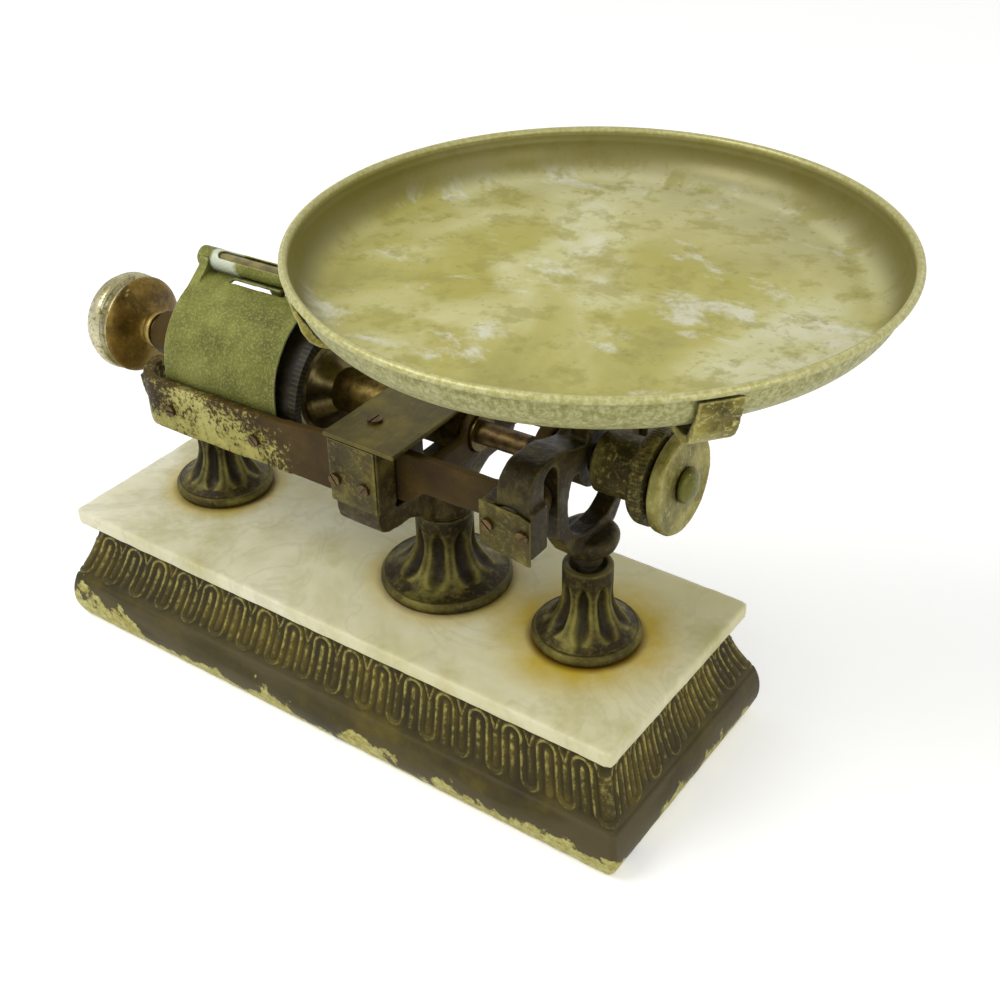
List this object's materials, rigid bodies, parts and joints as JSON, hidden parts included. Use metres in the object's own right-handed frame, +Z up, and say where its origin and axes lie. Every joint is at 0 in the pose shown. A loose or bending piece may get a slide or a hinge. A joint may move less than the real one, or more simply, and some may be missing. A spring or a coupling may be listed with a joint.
{
  "type": "counter balance",
  "caption": "Counter balance with a screw-driven poise drum, knife-edge beam, marble slab and ornamental iron base carrying a round pan.",
  "frame": {"origin": "middle of the bounding box on the table plane", "axes": "+X along the beam towards the pan, +Y away from the viewer across the slab, +Z up"},
  "size_m": [0.3916, 0.2288, 0.2466],
  "materials": {
    "base_iron": "old dark brown-olive paint, worn on the raised leaves",
    "marble": "honed white marble, stained",
    "iron": "dark brown-olive patina",
    "beam_iron": "worn and rust speckled",
    "steel": "aged steel",
    "dark_steel": "blackened steel",
    "bronze": "cast bronze with a green patina",
    "brass": "aged brass",
    "nickel": "worn nickel plate",
    "pan_plate": "brass with worn, mottled tin plating",
    "black": "black enamel",
    "glass": "glass with spirit",
    "plaster": "white plaster",
    "leather": "hard leather"
  },
  "bodies": {
    "stand": {"base_casting": "base_iron", "marble_slab": "marble", "left_pedestal": "iron", "middle_pedestal": "iron", "right_pedestal": "iron", "fulcrum_yoke": "iron", "tie_strip": "brass", "tie_strip_screws": "dark_steel", "fulcrum_bearings": "steel", "fulcrum_plates": "iron", "fulcrum_plate_screws": "dark_steel", "rest_pad": "leather", "clamp_bars": "iron", "hold_down_studs": "steel", "hold_down_nuts": "dark_steel", "ring_nut": "dark_steel", "check_bracket": "iron", "check_bracket_pin": "steel"},
    "check_link": {"check_rod": "steel"},
    "beam": {"beam_casting": "beam_iron", "fulcrum_knives": "steel", "load_knives": "steel", "journal_bush": "brass", "screw_barrel": "brass", "drum_cover": "bronze", "cover_screws": "dark_steel", "level_case": "bronze", "level_glass": "glass", "level_plaster": "plaster", "balance_stud": "steel", "domed_nut": "brass"},
    "carriage": {"index_follower": "brass"},
    "drum": {"drum_shell": "bronze", "graduated_band": "black", "drum_bell": "brass", "drum_hub": "brass", "thrust_collar": "brass", "spindle": "steel", "knob_body": "brass", "knob_face": "nickel"},
    "weight": {"balance_weight": "iron"},
    "lock": {"lock_disc": "iron"},
    "carrier": {"pan_carrier": "iron", "load_bearings": "steel", "load_plates": "iron", "load_plate_screws": "dark_steel", "carrier_stem": "steel", "stem_fork": "steel", "stem_pin": "steel", "pan_spider": "brass", "spider_nut": "dark_steel"},
    "pan": {"weighing_pan": "pan_plate"}
  },
  "joints": [
    {"name": "beam_tilt", "type": "hinge", "parent": "stand", "child": "beam", "pos_m": [-0.00194, 0, 0.1455], "axis": [0, 1, 0], "range_deg": [0, 4.5]},
    {"name": "carrier_level", "type": "hinge", "parent": "beam", "child": "carrier", "pos_m": [0.07402, 0, 0.14815], "axis": [0, 1, 0], "range_deg": [-4.5, 0]},
    {"name": "check_swing", "type": "hinge", "parent": "stand", "child": "check_link", "pos_m": [0.00426, 0, 0.02], "axis": [0, 1, 0], "range_deg": [0, 4.5]},
    {"name": "poise_travel", "type": "slide", "parent": "beam", "child": "carriage", "axis": [-0.9994, 0, -0.0349], "range_m": [0, 0.027]},
    {"name": "drum_turn", "type": "hinge", "parent": "carriage", "child": "drum", "pos_m": [-0.02392, 0, 0.14473], "axis": [0.9994, 0, 0.0349], "range_deg": [0, 1080]},
    {"name": "weight_turn", "type": "hinge", "parent": "beam", "child": "weight", "pos_m": [0.08681, 0, 0.1543], "axis": [0.9994, 0, 0.0349], "range_deg": [-180, 180]},
    {"name": "lock_turn", "type": "hinge", "parent": "beam", "child": "lock", "pos_m": [0.11679, 0, 0.15535], "axis": [0.9994, 0, 0.0349], "range_deg": [-180, 180]},
    {"name": "pan_lift", "type": "slide", "parent": "carrier", "child": "pan", "axis": [0, 0, 1], "range_m": [0, 0.15]}
  ],
  "couplings": [
    {"joint": "carrier_level", "follows": "beam_tilt", "ratio": -1},
    {"joint": "check_swing", "follows": "beam_tilt", "ratio": 1},
    {"joint": "poise_travel", "follows": "drum_turn", "m_per_rad": 0.0014324}
  ]
}
